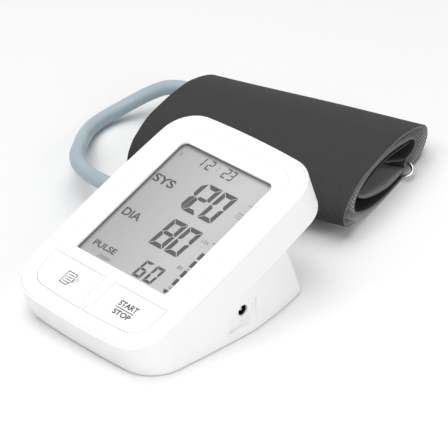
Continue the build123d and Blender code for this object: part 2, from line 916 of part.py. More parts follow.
# Air socket in the left wall: collar, tube and the nipple for its inner hose
with BuildPart() as air_socket:
    with BuildSketch(socket_plane):
        Circle(socket_collar_radius)
    extrude(amount=-socket_collar_depth)
    chamfer(air_socket.faces().sort_by(Axis.X)[0].edges(), socket_collar_depth / 4)
    with BuildSketch(socket_plane.offset(-socket_collar_depth)):
        Circle(socket_tube_radius)
    extrude(amount=-(socket_bore_depth - socket_collar_depth + wall))
    with BuildSketch(socket_plane.offset(-socket_bore_depth - wall)):
        Circle(nipple_radius)
    extrude(amount=-socket_nipple_length)
    with BuildSketch(socket_plane):
        Circle(socket_bore_radius)
    extrude(amount=-socket_bore_depth, mode=Mode.SUBTRACT)
    with BuildSketch(socket_plane):
        Circle(nipple_bore)
    extrude(amount=-(socket_bore_depth + wall + socket_nipple_length), mode=Mode.SUBTRACT)
save(air_socket.part, "air_socket")

# Pump on a foam pad over the battery bay: head, motor and the motor's boss
pump_height = bay_ceiling + pad_thickness + pump_radius
pump_plane = Plane(
    origin=(pump_end_x, pump_y, pump_height), x_dir=(0, 1, 0), z_dir=(1, 0, 0)
)
pump_nipple_x = pump_end_x + pump_head_length / 2
with BuildPart() as pump_head:
    with BuildSketch(pump_plane):
        Circle(pump_radius)
    extrude(amount=pump_head_length)
    fillet(pump_head.faces().sort_by(Axis.X)[0].edges(), radius=rim_radius)
    nipple_plane = Plane(
        origin=(pump_nipple_x, pump_y, pump_height), x_dir=(1, 0, 0), z_dir=(0, -1, 0)
    )
    with BuildSketch(nipple_plane):
        Circle(nipple_radius)
    extrude(amount=pump_radius + air_nipple_length)
save(pump_head.part, "pump_head")

with BuildPart() as pump_motor:
    with BuildSketch(pump_plane.offset(pump_head_length)):
        Circle(motor_radius)
    extrude(amount=motor_length)
    fillet(pump_motor.faces().sort_by(Axis.X)[-1].edges(), radius=rim_radius)
    with BuildSketch(pump_plane.offset(pump_head_length + motor_length)):
        Circle(motor_boss_radius)
    extrude(amount=motor_boss_length)
save(pump_motor.part, "pump_motor")

with BuildPart() as pump_pad:
    with BuildSketch(Plane.XY.offset(bay_ceiling)):
        with Locations((pump_end_x + pump_head_length / 2, pump_y)):
            RectangleRounded(pump_head_length, pad_width, rim_radius)
    extrude(amount=2 * pad_thickness)
    with BuildSketch(pump_plane.offset(-pump_head_length)):
        Circle(pump_radius + running_gap)
    extrude(amount=3 * pump_head_length, mode=Mode.SUBTRACT)
save(pump_pad.part, "pump_pad")

# Release valve: a small solenoid that stands on the bay's ceiling beside the motor
motor_end_x = pump_end_x + pump_head_length + motor_length + motor_boss_length
valve_x = motor_end_x + valve_gap + valve_size / 2
manifold_height = bay_ceiling + seat_gap + manifold_radius
with BuildPart() as release_valve:
    with BuildSketch(Plane.XY.offset(bay_ceiling)):
        with Locations((valve_x, valve_y)):
            RectangleRounded(valve_size, valve_size, rim_radius)
    extrude(amount=valve_height)
    chamfer(release_valve.faces().sort_by(Axis.Z)[-1].edges(), rim_radius / 2)
    valve_plane = Plane(
        origin=(valve_x, valve_y, manifold_height), x_dir=(1, 0, 0), z_dir=(0, -1, 0)
    )
    with BuildSketch(valve_plane):
        Circle(nipple_radius)
    extrude(amount=valve_size / 2 + air_nipple_length)
save(release_valve.part, "release_valve")

# Manifold: one chamber with four nipples, each with its own silicone tube
manifold_plane = Plane(
    origin=(0, manifold_y, manifold_height), x_dir=(0, 1, 0), z_dir=(1, 0, 0)
)
sensor_port_depth = board_back + sensor_height
sensor_point = on_face(sensor_u, sensor_v, sensor_port_depth)
sensor_plane = Plane(origin=sensor_point, x_dir=(1, 0, 0), z_dir=-face.z_dir)
to_manifold = manifold_plane.origin + Vector(sensor_u, 0, 0) - sensor_point
sensor_drop = to_manifold.dot(sensor_plane.z_dir)
nipple_reach = manifold_radius + air_nipple_length
with BuildPart() as air_manifold:
    with BuildSketch(manifold_plane):
        Circle(manifold_radius)
    extrude(amount=manifold_half_length, both=True)
    with BuildSketch(manifold_plane):
        Circle(nipple_radius)
    extrude(amount=manifold_half_length + air_nipple_length, both=True)
    with BuildSketch(Plane.XY.offset(manifold_height)):
        with Locations((pump_nipple_x, manifold_y)):
            Circle(nipple_radius)
    extrude(amount=nipple_reach)
    with BuildSketch(sensor_plane.offset(sensor_drop)):
        Circle(sensor_port_radius)
    extrude(amount=-nipple_reach)
save(air_manifold.part, "air_manifold")


def air_tube(points, bore):
    """A silicone tube that bends round each middle point and slips over nipples."""
    with BuildPart() as tube:
        with BuildLine():
            path = FilletPolyline(*points, radius=tube_bend)
        with BuildSketch(Plane(path @ 0, z_dir=path % 0)):
            Circle(tube_radius)
            Circle(bore + running_gap, mode=Mode.SUBTRACT)
        sweep()
    return tube.part


pump_front = pump_y - pump_radius - seat_gap
valve_front = valve_y - valve_size / 2 - seat_gap
manifold_end = manifold_half_length + seat_gap
manifold_top = manifold_height + manifold_radius + seat_gap
socket_inner_x = -socket_collar_x + socket_bore_depth + wall + seat_gap
pump_tube = air_tube(
    [
        (pump_nipple_x, pump_front, pump_height),
        (pump_nipple_x, manifold_y, pump_height),
        (pump_nipple_x, manifold_y, manifold_top),
    ],
    nipple_radius,
)
save(pump_tube, "pump_tube")
valve_tube = air_tube(
    [
        (valve_x, valve_front, manifold_height),
        (valve_x, manifold_y, manifold_height),
        (manifold_end, manifold_y, manifold_height),
    ],
    nipple_radius,
)
save(valve_tube, "valve_tube")
socket_tube = air_tube(
    [
        (socket_inner_x, socket_y, socket_height),
        (socket_tube_x, socket_y, socket_height),
        (socket_tube_x, manifold_y, manifold_height),
        (-manifold_end, manifold_y, manifold_height),
    ],
    nipple_radius,
)
save(socket_tube, "socket_tube")
with BuildPart() as sensor_tube:
    with BuildSketch(sensor_plane.offset(seat_gap)):
        Circle(tube_radius)
        Circle(sensor_port_radius + running_gap, mode=Mode.SUBTRACT)
    extrude(amount=sensor_drop - manifold_radius - 3 * seat_gap)
save(sensor_tube.part, "sensor_tube")

# Hose plug: a ribbed grip and a nose that slides into the air socket
plug_plane = socket_plane.offset(seat_gap)
with BuildPart() as hose_plug:
    with BuildSketch(plug_plane):
        Circle(plug_grip_radius - plug_rib_height)
    extrude(amount=plug_grip_length)
    rib_pitch = plug_grip_length / (plug_ribs + 1)
    for index in range(plug_ribs):
        with BuildSketch(plug_plane.offset((index + 0.75) * rib_pitch)):
            Circle(plug_grip_radius)
        extrude(amount=rib_pitch / 2)
    with BuildSketch(plug_plane):
        Circle(plug_nose_radius)
    extrude(amount=-plug_nose_length)
    chamfer(hose_plug.faces().sort_by(Axis.X)[-1].edges(), plug_rib_height)
save(hose_plug.part, "hose_plug")

# Cuff plane: across the cuff, up, and along its axis from the hose end
turn = radians(cuff_turn)
cuff_axis = Vector(cos(turn), sin(turn), 0)
cuff_side = Vector(-sin(turn), cos(turn), 0)
cuff_origin = cuff_axis * cuff_start + cuff_side * cuff_across
cuff_plane = Plane(origin=cuff_origin, x_dir=cuff_side, z_dir=cuff_axis)

# Shell: one strip from its hem over the lower rail, round the arm space, through
# the bar, back over the upper rail and round again to its loose end
with BuildPart() as cuff_shell:
    with BuildSketch(cuff_plane):
        with BuildLine():
            hem = Spline(
                *hem_points,
                (lower_rail[0], lower_rail[1] + bar_loop_radius),
                tangents=[(0.85, -0.5), (1, 0)],
            )
            ThreePointArc(
                hem @ 1,
                (lower_rail[0] + bar_loop_radius, lower_rail[1]),
                (lower_rail[0], lower_rail[1] - bar_loop_radius),
            )
            wrap = Spline(
                (lower_rail[0], lower_rail[1] - bar_loop_radius),
                *inner_turn,
                (upper_rail[0], upper_rail[1] + bar_loop_radius),
                tangents=[(-1, 0), (-1, 0)],
            )
            ThreePointArc(
                wrap @ 1,
                (upper_rail[0] - bar_loop_radius, upper_rail[1]),
                (upper_rail[0], upper_rail[1] - bar_loop_radius),
            )
            Spline(
                (upper_rail[0], upper_rail[1] - bar_loop_radius),
                *outer_turn,
                tangents=[(1, -0.1), (1, 0.15)],
            )
        trace(line_width=shell_thickness)
    extrude(amount=cuff_width)
save(cuff_shell.part, "cuff_shell")

def inside_wrap(drop, first, last):
    """Points at a drop inside the inner wrap, from one place along it to another."""
    points = []
    for step in range(ply_steps + 1):
        place = first + (last - first) * step / ply_steps
        tangent = wrap % place
        points.append(wrap @ place + Vector(tangent.Y, -tangent.X) * drop)
    return points


# Bladder and lining, layer under layer inside the upper run of the shell
bladder_drop = (shell_thickness + bladder_thickness) / 2 + seat_gap
lining_drop = bladder_drop + (bladder_thickness + lining_thickness) / 2 + seat_gap
with BuildPart() as air_bladder:
    with BuildSketch(cuff_plane.offset(bladder_margin)):
        with BuildLine():
            Spline(*inside_wrap(bladder_drop, *bladder_run))
        trace(line_width=bladder_thickness)
    extrude(amount=cuff_width - 2 * bladder_margin)
save(air_bladder.part, "air_bladder")

with BuildPart() as cuff_lining:
    with BuildSketch(cuff_plane):
        with BuildLine():
            Spline(*inside_wrap(lining_drop, *lining_run))
        trace(line_width=lining_thickness)
    extrude(amount=cuff_width)
save(cuff_lining.part, "cuff_lining")

# Guard flap: leans from the bar up to the lining
with BuildPart() as guard_flap:
    with BuildSketch(cuff_plane):
        with BuildLine():
            Spline(*flap_points, tangents=[(-1, 0.15), (-0.85, 0.4)])
        trace(line_width=flap_thickness)
    extrude(amount=cuff_width)
save(guard_flap.part, "guard_flap")

# Hook tape: sewn inside the loose end of the strip
with BuildPart() as hook_tape:
    with BuildSketch(cuff_plane.offset(tape_start)):
        with BuildLine():
            Spline(*tape_points)
        trace(line_width=tape_thickness)
    extrude(amount=cuff_width - 2 * tape_start)
save(hook_tape.part, "hook_tape")

# Bar: a wire ring, two long rails joined by half circles past the cuff's edges
rail_step = Vector(upper_rail[0] - lower_rail[0], upper_rail[1] - lower_rail[1], 0)
bar_turn = rail_step.length / 2
bar_middle = ((upper_rail[0] + lower_rail[0]) / 2, (upper_rail[1] + lower_rail[1]) / 2, 0)
bar_centre = cuff_plane.from_local_coords(bar_middle)
bar_across = (
    cuff_plane.from_local_coords((rail_step.X, rail_step.Y, 0)) - cuff_plane.origin
).normalized()
bar_plane = Plane(
    origin=bar_centre + cuff_axis * (cuff_width / 2),
    x_dir=cuff_axis,
    z_dir=cuff_axis.cross(bar_across),
)
rail_half = cuff_width / 2 + bar_end_gap
with BuildPart() as metal_bar:
    with BuildLine(bar_plane) as ring:
        Line((-rail_half, -bar_turn), (rail_half, -bar_turn))
        ThreePointArc((rail_half, -bar_turn), (rail_half + bar_turn, 0), (rail_half, bar_turn))
        Line((rail_half, bar_turn), (-rail_half, bar_turn))
        ThreePointArc((-rail_half, bar_turn), (-rail_half - bar_turn, 0), (-rail_half, -bar_turn))
    ring_wire = ring.wire()
    with BuildSketch(Plane(ring_wire @ 0, z_dir=ring_wire % 0)):
        Circle(bar_wire)
    sweep()
save(metal_bar.part, "metal_bar")

# Port: a flat tongue that lies in the bladder's layer and a round collar for the hose
with BuildPart() as cuff_port:
    with BuildSketch(cuff_plane):
        with Locations((port_across, port_height)):
            Circle(port_radius)
    extrude(amount=-port_length)
    chamfer(cuff_port.faces().sort_by(Axis(cuff_origin, cuff_axis))[0].edges(), port_length / 5)
    with BuildSketch(cuff_plane):
        with BuildLine():
            Spline(*inside_wrap(bladder_drop, *tongue_run))
        trace(line_width=bladder_thickness)
    extrude(amount=bladder_margin - seat_gap)
save(cuff_port.part, "cuff_port")

# Air hose: straight runs joined by arcs as large as the runs allow
hose_start = plug_plane.offset(plug_grip_length).origin
port_run = cuff_plane.from_local_coords((port_across, port_height, -port_length - hose_last_run))
hose_end = cuff_plane.from_local_coords((port_across, port_height, -port_length))
hose_route = [tuple(hose_start), *hose_corners, tuple(port_run), tuple(hose_end)]


def bend_radii(route):
    """The largest arc that the two runs beside each corner allow."""
    points = [Vector(*point) for point in route]
    radii = []
    for before, corner, after in zip(points, points[1:], points[2:]):
        run_in = corner - before
        run_out = after - corner
        half_turn = radians(run_in.get_angle(run_out) / 2)
        shorter = min(run_in.length, run_out.length)
        radii.append(0.45 * shorter / tan(half_turn))
    return radii


hose_radii = bend_radii(hose_route)
with BuildPart() as air_hose:
    with BuildLine():
        hose_path = FilletPolyline(*hose_route, radius=hose_radii)
    with BuildSketch(Plane(hose_path @ 0, z_dir=hose_path % 0)):
        Circle(hose_radius)
    sweep()
save(air_hose.part, "air_hose")
hose_length = hose_path.length
section = pi * hose_radius**2
print("hose bend radii:", [round(radius, 1) for radius in hose_radii])
print("hose length:", round(hose_length, 1))
print("hose volume over section times length:", round(air_hose.part.volume / section / hose_length, 4))
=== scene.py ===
# %% [markdown]
# # Upper arm blood pressure monitor
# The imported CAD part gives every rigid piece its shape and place. This script adds
# what the CAD leaves out: the camera, the soft hose and cuff, the display segments,
# the lettering on the keys, the materials and the studio.

import json
import math

import bpy
from mathutils import Matrix, Vector


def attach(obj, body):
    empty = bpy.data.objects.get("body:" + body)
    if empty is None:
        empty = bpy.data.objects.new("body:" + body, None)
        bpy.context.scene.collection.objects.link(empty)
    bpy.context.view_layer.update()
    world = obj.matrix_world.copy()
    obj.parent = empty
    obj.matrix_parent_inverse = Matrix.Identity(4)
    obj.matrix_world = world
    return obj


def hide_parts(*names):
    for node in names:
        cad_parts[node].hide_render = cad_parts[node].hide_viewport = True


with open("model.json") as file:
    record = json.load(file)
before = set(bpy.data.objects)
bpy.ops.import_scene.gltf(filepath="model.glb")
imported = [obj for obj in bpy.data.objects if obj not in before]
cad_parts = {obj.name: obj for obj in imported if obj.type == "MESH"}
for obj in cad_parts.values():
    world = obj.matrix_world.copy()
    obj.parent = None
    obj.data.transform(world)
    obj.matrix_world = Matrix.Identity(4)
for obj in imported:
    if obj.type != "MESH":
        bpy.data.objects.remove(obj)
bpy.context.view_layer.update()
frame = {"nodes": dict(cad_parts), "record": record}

# %% [markdown]
# ## Shared sizes
# Sizes are written in millimetres, and MM turns them into Blender's metres. The face
# of the unit is a plane tilted back from level, and everything on it is placed by
# (u, v): u to the right, v up the slope. The cuff has its own turned axis.

# %% Sizes shared with the CAD part
MM = 0.001
face_tilt = math.radians(23.0)
face_origin = Vector((0, 5.0, 49.0)) * MM
face_right = Vector((1, 0, 0))
face_up = Vector((0, math.cos(face_tilt), math.sin(face_tilt)))
face_out = face_right.cross(face_up)
display_depth = 2.5
cuff_turn = math.radians(19.4)
cuff_axis = Vector((math.cos(cuff_turn), math.sin(cuff_turn), 0))
cuff_side = Vector((-math.sin(cuff_turn), math.cos(cuff_turn), 0))
cuff_start = -73.4
cuff_across = 148.5
cuff_width = 129.0
shell_thickness = 1.5
hose_diameter = 8.4


def on_face(u, v, depth=0.0):
    """The point at (u, v) on the face, carried back by a depth, all in millimetres."""
    return face_origin + (face_right * u + face_up * v - face_out * depth) * MM


def on_cuff(across, height, along):
    """A point of the cuff in millimetres: across it, up, and along it from the hose end."""
    place = cuff_axis * (cuff_start + along) + cuff_side * (cuff_across + across)
    return Vector((place.x, place.y, height)) * MM


print("face normal:", [round(value, 3) for value in face_out])

# %% [markdown]
# ## Camera
# A photo's camera can be found from edges that are straight on the real object. This
# one was fitted to the unit's: it looks down on the near right corner from about 1.3 m
# away with a long lens, so that far edges are hardly smaller than near ones.

# %% Camera
camera_azimuth = math.radians(45.767)
camera_elevation = math.radians(30.232)
camera_distance = 1281.2
camera_shift = (-24.4, 4.047)
camera_target = Vector((0, 5.04, 48.93))

back = Vector(
    (
        math.sin(camera_azimuth) * math.cos(camera_elevation),
        -math.cos(camera_azimuth) * math.cos(camera_elevation),
        math.sin(camera_elevation),
    )
)
right = Vector((math.cos(camera_azimuth), math.sin(camera_azimuth), 0))
up = back.cross(right)
eye = camera_target + back * camera_distance - right * camera_shift[0] - up * camera_shift[1]
camera_data = bpy.data.cameras.new("camera")
camera_data.lens = 207.6
camera_data.sensor_width = 36.0
camera_data.clip_start = 0.05
camera_data.clip_end = 20.0
camera = bpy.data.objects.new("camera", camera_data)
bpy.context.scene.collection.objects.link(camera)
camera.matrix_world = Matrix.Translation(eye * MM) @ Matrix((right, up, back)).transposed().to_4x4()
bpy.context.scene.camera = camera
print("camera at", [round(value, 3) for value in eye * MM])

# %% [markdown]
# ## Hose
# The real hose is a soft tube that lies in a free bend. A curve with a round bevel
# gives such a tube an even thickness. It is a NURBS curve of order three over the same
# corners as the CAD hose, so it rounds them, and it runs from the plug to the cuff.

# %% Hose
port_place = (29.9, 21.0)
port_length = 3.0
hose_last_run = 12.5
hose_corners = [
    (-58.5, 32.0, 24.0),
    (-78.2, 32.0, 24.0),
    (-100.4, 34.5, 21.4),
    (-121.0, 44.4, 18.9),
    (-136.5, 63.8, 16.8),
    (-149.5, 74.6, 8.2),
    (-163.3, 94.3, 4.5),
    (-163.8, 116.6, 6.7),
    (-154.0, 132.4, 15.7),
]
hose_route = [Vector(corner) * MM for corner in hose_corners]
hose_route.append(on_cuff(*port_place, -port_length - hose_last_run))
hose_route.append(on_cuff(*port_place, -port_length))
hose_curve = bpy.data.curves.new("soft_hose", "CURVE")
hose_curve.dimensions = "3D"
hose_curve.bevel_depth = hose_diameter / 2 * MM
hose_curve.bevel_resolution = 8
hose_curve.resolution_u = 16
hose_curve.use_fill_caps = True
hose_line = hose_curve.splines.new("NURBS")
hose_line.points.add(len(hose_route) - 1)
for point, place in zip(hose_line.points, hose_route):
    point.co = (*place, 1.0)
hose_line.order_u = 3
hose_line.use_endpoint_u = True
soft_hose = bpy.data.objects.new("soft_hose", hose_curve)
bpy.context.scene.collection.objects.link(soft_hose)
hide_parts("air_hose")
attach(soft_hose, "cuff_set")
print("hose points:", len(hose_route))

# %% [markdown]
# ## Materials
# One small function fills the inputs of a shader node and one adds a node. Colours are
# written as the sRGB hex values that the eye sees and turned into linear light, which
# is what the renderer adds and multiplies.

# %% Material helpers
looks = {}


def linear(code):
    """An sRGB hex colour as linear red, green, blue and alpha, by the sRGB formula."""
    channels = [int(code[place : place + 2], 16) / 255 for place in (1, 3, 5)]
    light = [c / 12.92 if c <= 0.04045 else ((c + 0.055) / 1.055) ** 2.4 for c in channels]
    return (*light, 1.0)


def set_inputs(node, *values, **named):
    """Fills a node's inputs in order or by name; a value that is a socket is linked."""
    by_name = {name.replace("_", " "): value for name, value in named.items()}
    for key, value in (*enumerate(values), *by_name.items()):
        if isinstance(value, bpy.types.NodeSocket):
            node.id_data.links.new(value, node.inputs[key])
        else:
            node.inputs[key].default_value = value


def add_node(tree, kind, *values, operation=None, colours=(), **named):
    """A new node with its operation, the end colours of its ramp and its inputs."""
    node = tree.nodes.new(kind)
    if operation:
        node.operation = operation
    for end, code in enumerate(colours):
        node.color_ramp.elements[end].color = linear(code)
    set_inputs(node, *values, **named)
    return node


def plain_material(name, code, roughness, grain=None, **named):
    """A surface of one colour and roughness; a grain is a bump of scale, strength, depth."""
    material = bpy.data.materials.new(name)
    material.use_nodes = True
    tree = material.node_tree
    shader = tree.nodes["Principled BSDF"]
    set_inputs(shader, Base_Color=linear(code), Roughness=roughness, **named)
    if grain:
        scale, strength, depth = grain
        place = add_node(tree, "ShaderNodeTexCoord").outputs["Object"]
        noise = add_node(tree, "ShaderNodeTexNoise", Vector=place, Scale=scale, Detail=3.0)
        height = noise.outputs["Fac"]
        bump = add_node(
            tree, "ShaderNodeBump", Height=height, Strength=strength, Distance=depth
        )
        set_inputs(shader, Normal=bump.outputs["Normal"])
    looks[name] = material
    return material


print("white in linear light:", linear("#FFFFFF"))

# %% [markdown]
# ## Rigid materials
# The housing is a satin white plastic with a very fine mould texture. A noise in the
# object's own coordinates drives a bump, which catches the light without adding faces.
# The bezel is nearly the same white with a gloss, and the pane over the display is
# almost invisible.

# %% Rigid materials
mould_grain = (2600, 0.05, 0.0002)
black_grain = (2200, 0.05, 0.0002)
board_grain = (900, 0.1, 0.0003)
motor_grain = (1500, 0.08, 0.0002)
rubber_grain = (1800, 0.1, 0.0002)
foam_grain = (900, 0.6, 0.0005)
hose_grain = (700, 0.06, 0.0003)
ply_grain = (900, 0.3, 0.0003)
plain_material("white_shell", "#FAFAFA", 0.42, mould_grain)
plain_material("white_key", "#FAFAFA", 0.4, mould_grain)
plain_material("white_gloss", "#FBFBFB", 0.28)
plain_material("pale_plastic", "#DEE0E1", 0.4)
plain_material("black_plastic", "#101011", 0.45, black_grain)
plain_material("clear_pane", "#FFFFFF", 0.08, Alpha=0.03)
plain_material("green_board", "#1B5E3C", 0.4, board_grain)
plain_material("steel", "#C9CACC", 0.28, Metallic=1.0)
plain_material("motor_steel", "#B4B5B8", 0.35, motor_grain, Metallic=1.0)
plain_material("aluminium", "#D4D5D7", 0.32, Metallic=1.0)
plain_material("bright_bar", "#B9BABC", 0.22, Metallic=1.0)
plain_material("cell_case", "#8F9498", 0.3, Metallic=0.6)
plain_material("pale_rubber", "#DDE1E3", 0.5, Alpha=0.85)
plain_material("grey_rubber", "#6E7073", 0.7, rubber_grain)
plain_material("dark_foam", "#2B2C2E", 0.9, foam_grain)
plain_material("bladder_rubber", "#343537", 0.6)
plain_material("hose_grey", "#A3B3BD", 0.42, hose_grain)
plain_material("hose_grey_plastic", "#94A5B0", 0.38)
segment_ink = plain_material("segment_ink", "#18191A", 0.6)
thin_ink = plain_material("thin_ink", "#5A5B5C", 0.5)
key_ink = plain_material("key_ink", "#1E1F20", 0.6)
print("rigid materials:", len(looks))

# %% [markdown]
# ## Display glass
# The display's grey is a little darker to the left, as in the photo. A painted shadow
# along its left and upper edges stands for the shade that the window's rim casts on
# the display, which lies deeper. Both are worked out from the place on the face, so no
# picture is needed.

# %% Display material
dark_side = -34
light_side = 20
display_left = -34.7
display_top = 41.8
edge_shade_width = 4.2
display_grey = plain_material("display_grey", "#B8B8B8", 0.35)
display_tree = display_grey.node_tree
display_place = add_node(display_tree, "ShaderNodeNewGeometry").outputs["Position"]


def share_along(axis, start, end):
    """How far a place lies between two distances along an axis, from 0 to 1."""
    origin = face_origin.dot(axis)
    along = add_node(
        display_tree, "ShaderNodeVectorMath", display_place, axis, operation="DOT_PRODUCT"
    )
    share = add_node(
        display_tree,
        "ShaderNodeMapRange",
        Value=along.outputs["Value"],
        From_Min=origin + start * MM,
        From_Max=origin + end * MM,
    )
    return share.outputs["Result"]


display_ramp = add_node(
    display_tree,
    "ShaderNodeValToRGB",
    Fac=share_along(face_right, dark_side, light_side),
    colours=("#9C9C9C", "#B9B9B9"),
)
shaded = display_ramp.outputs["Color"]
# Painted shadow: the colour is darkened along the window's left and upper edges.
for edge_shadow_share in (
    share_along(face_right, display_left, display_left + edge_shade_width),
    share_along(face_up, display_top, display_top - edge_shade_width),
):
    edge_shadow_ramp = add_node(
        display_tree, "ShaderNodeValToRGB", Fac=edge_shadow_share, colours=("#B4B4B4", "#FFFFFF")
    )
    edge_shadow_ramp.color_ramp.interpolation = "EASE"
    edge_shadow_colour = edge_shadow_ramp.outputs["Color"]
    darker = add_node(
        display_tree, "ShaderNodeVectorMath", shaded, edge_shadow_colour, operation="MULTIPLY"
    )
    shaded = darker.outputs["Vector"]
set_inputs(display_tree.nodes["Principled BSDF"], Base_Color=shaded)
print("display nodes:", len(display_tree.nodes))

# %% [markdown]
# ## Cuff fabric
# The real fabric is a dark grey weave. It could be a picture, but two sets of slanted
# rows that cross give the same look from a formula. They use the cloth's own
# coordinates, which are millimetres along the strip and across it. The rows are 2 mm
# apart along the strip, much coarser than real threads, so that they show at this size.

# %% Fabric material
weave_pitch = 2.0
row_slopes = (0.7, -1.2)
mottle_scale = 0.9
mottle_height = 0.6
relief_reach = 1.9
weave_strength = 0.25
weave_depth = 0.0001
cloth_sheen = 0.25


def fabric_material(name, dark, light, roughness):
    """A woven cloth: crossing rows in the colour and the bump, over a soft mottle."""
    material = plain_material(name, light, roughness)
    tree = material.node_tree
    place = add_node(tree, "ShaderNodeUVMap").outputs["UV"]
    axes = add_node(tree, "ShaderNodeSeparateXYZ", Vector=place)
    along, across = axes.outputs["X"], axes.outputs["Y"]
    turns = 2 * math.pi / weave_pitch
    rows = []
    for slope in row_slopes:
        slant = add_node(tree, "ShaderNodeMath", across, slope, along, operation="MULTIPLY_ADD")
        angle = add_node(tree, "ShaderNodeMath", slant.outputs[0], turns, operation="MULTIPLY")
        wave = add_node(tree, "ShaderNodeMath", angle.outputs[0], operation="SINE")
        rows.append(wave.outputs[0])
    threads = add_node(tree, "ShaderNodeMath", *rows, operation="ADD").outputs[0]
    cloud = add_node(tree, "ShaderNodeTexNoise", Vector=place, Scale=mottle_scale, Detail=4.0)
    mottle = add_node(tree, "ShaderNodeMapRange", Value=cloud.outputs["Fac"])
    set_inputs(mottle, To_Min=-mottle_height, To_Max=mottle_height)
    lift = mottle.outputs["Result"]
    relief = add_node(tree, "ShaderNodeMath", threads, lift, operation="ADD").outputs[0]
    share = add_node(tree, "ShaderNodeMapRange", Value=relief)
    set_inputs(share, From_Min=-relief_reach, From_Max=relief_reach)
    ramp = add_node(
        tree, "ShaderNodeValToRGB", Fac=share.outputs["Result"], colours=(dark, light)
    )
    bump = add_node(
        tree, "ShaderNodeBump", Height=relief, Strength=weave_strength, Distance=weave_depth
    )
    shader = tree.nodes["Principled BSDF"]
    set_inputs(shader, Base_Color=ramp.outputs["Color"], Normal=bump.outputs["Normal"])
    return material


cuff_fabric = fabric_material("cuff_fabric", "#6C6C6C", "#C4C4C4", 0.85)
# The inside cloth is a dark cloth darkened further: painted shade for the shadow inside the cuff.
inner_fabric = fabric_material("inner_fabric", "#2B2B2B", "#3F3F3F", 0.9)
# The three plies are a dark cloth darkened further: painted shade for the shadow inside the cuff.
inner_ply = plain_material("inner_ply", "#363636", 0.9, ply_grain)
cut_edge = plain_material("cut_edge", "#686868", 0.85)
for cloth_look in (cuff_fabric, inner_fabric, inner_ply, cut_edge):
    shader = cloth_look.node_tree.nodes["Principled BSDF"]
    set_inputs(shader, Specular_IOR_Level=cloth_sheen)
print("fabric nodes:", len(cuff_fabric.node_tree.nodes))

# %% [markdown]
# ## CAD nodes and their materials
# Every CAD node takes the material that the record names for it. The three plies at
# the cuff's open end are darker here than the strip itself: a dark cloth with painted
# shade for the shadow inside the cuff.

# %% Assign materials
for entry in frame["record"]["subparts"]:
    node = frame["nodes"][entry["node"]]
    node.data.materials.clear()
    node.data.materials.append(looks[entry["material_slot"]])
for name in ("cuff_lining", "guard_flap", "hook_tape"):
    frame["nodes"][name].data.materials[0] = inner_ply
soft_hose.data.materials.append(looks["hose_grey"])

# %% [markdown]
# ## Flat marks on the face
# Real segments and printing have no thickness to speak of. They could be painted in
# the material, but thin flat meshes stay sharp from near by and can be moved. Each is
# drawn as polygons in (u, v) and laid just above the surface that carries it.

# %% Mesh helpers


def add_mesh(name, points, faces, material, body):
    """A new mesh object that rides on a body of the part."""
    mesh = bpy.data.meshes.new(name)
    mesh.from_pydata(points, [], faces)
    mesh.materials.append(material)
    made = bpy.data.objects.new(name, mesh)
    bpy.context.scene.collection.objects.link(made)
    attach(made, body)
    return made


def add_marks(name, polygons, depth, material, body):
    """Flat polygons on the plane at a depth behind the face."""
    points = []
    faces = []
    for polygon in polygons:
        faces.append(list(range(len(points), len(points) + len(polygon))))
        points += [on_face(u, v, depth) for u, v in polygon]
    return add_mesh(name, points, faces, material, body)


def behind_window(polygons, depth):
    """Marks read off the photo on the face plane, carried along the line of sight."""
    step_u = depth * back.dot(face_right) / back.dot(face_out)
    step_v = depth * back.dot(face_up) / back.dot(face_out)
    return [[(u - step_u, v - step_v) for u, v in polygon] for polygon in polygons]


def bar(left, low, right_side, high):
    """The four corners of an upright rectangle."""
    return [(left, low), (right_side, low), (right_side, high), (left, high)]


def stroke(start, end, width):
    """A straight line of a given width as a rectangle."""
    along = Vector((end[0] - start[0], end[1] - start[1]))
    along.normalize()
    half = Vector((-along.y, along.x)) * width / 2
    return [
        (start[0] + half.x, start[1] + half.y),
        (start[0] - half.x, start[1] - half.y),
        (end[0] - half.x, end[1] - half.y),
        (end[0] + half.x, end[1] + half.y),
    ]


def add_words(name, words, box, depth, material, body, weight=0.0):
    """Lettering stretched to fill a (left, low, right, high) box on the face."""
    text = bpy.data.curves.new(name, "FONT")
    text.body = words
    text.size = 1.0
    text.offset = weight
    text.materials.append(material)
    made = bpy.data.objects.new(name, text)
    bpy.context.scene.collection.objects.link(made)
    bpy.context.view_layer.update()
    corners = [Vector(corner) for corner in made.bound_box]
    low = Vector((min(c.x for c in corners), min(c.y for c in corners)))
    high = Vector((max(c.x for c in corners), max(c.y for c in corners)))
    wide = (box[2] - box[0]) * MM / (high.x - low.x)
    tall = (box[3] - box[1]) * MM / (high.y - low.y)
    turn = Matrix((face_right * wide, face_up * tall, face_out)).transposed().to_4x4()
    corner = on_face(box[0], box[1], depth)
    made.matrix_world = Matrix.Translation(corner) @ turn @ Matrix.Translation((-low.x, -low.y, 0))
    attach(made, body)
    return made


print("the display lies", display_depth, "mm behind the face")

# %% [markdown]
# ## Seven-segment numbers
# A digit of a liquid crystal display is seven bars with mitred ends and thin gaps. The
# list for each character names the bars that are on, in the usual order: top, upper
# right, lower right, foot, lower left, upper left, middle.

# %% Segment shapes
segments_on = {"0": "abcdef", "1": "bc", "2": "abged", "3": "abgcd", "6": "acdefg", "8": "abcdefg"}
gap_share = 0.1
middle_share = 0.42


def level_bar(left, right_side, outer, inner, slope):
    """A level segment whose outer edge is longer than its inner edge."""
    return [(left, outer), (right_side, outer), (right_side - slope, inner), (left + slope, inner)]


def middle_bar(left, right_side, middle, half):
    """The level segment across the middle, with a point at each end."""
    return [
        (left, middle),
        (left + half, middle + half),
        (right_side - half, middle + half),
        (right_side, middle),
        (right_side - half, middle - half),
        (left + half, middle - half),
    ]


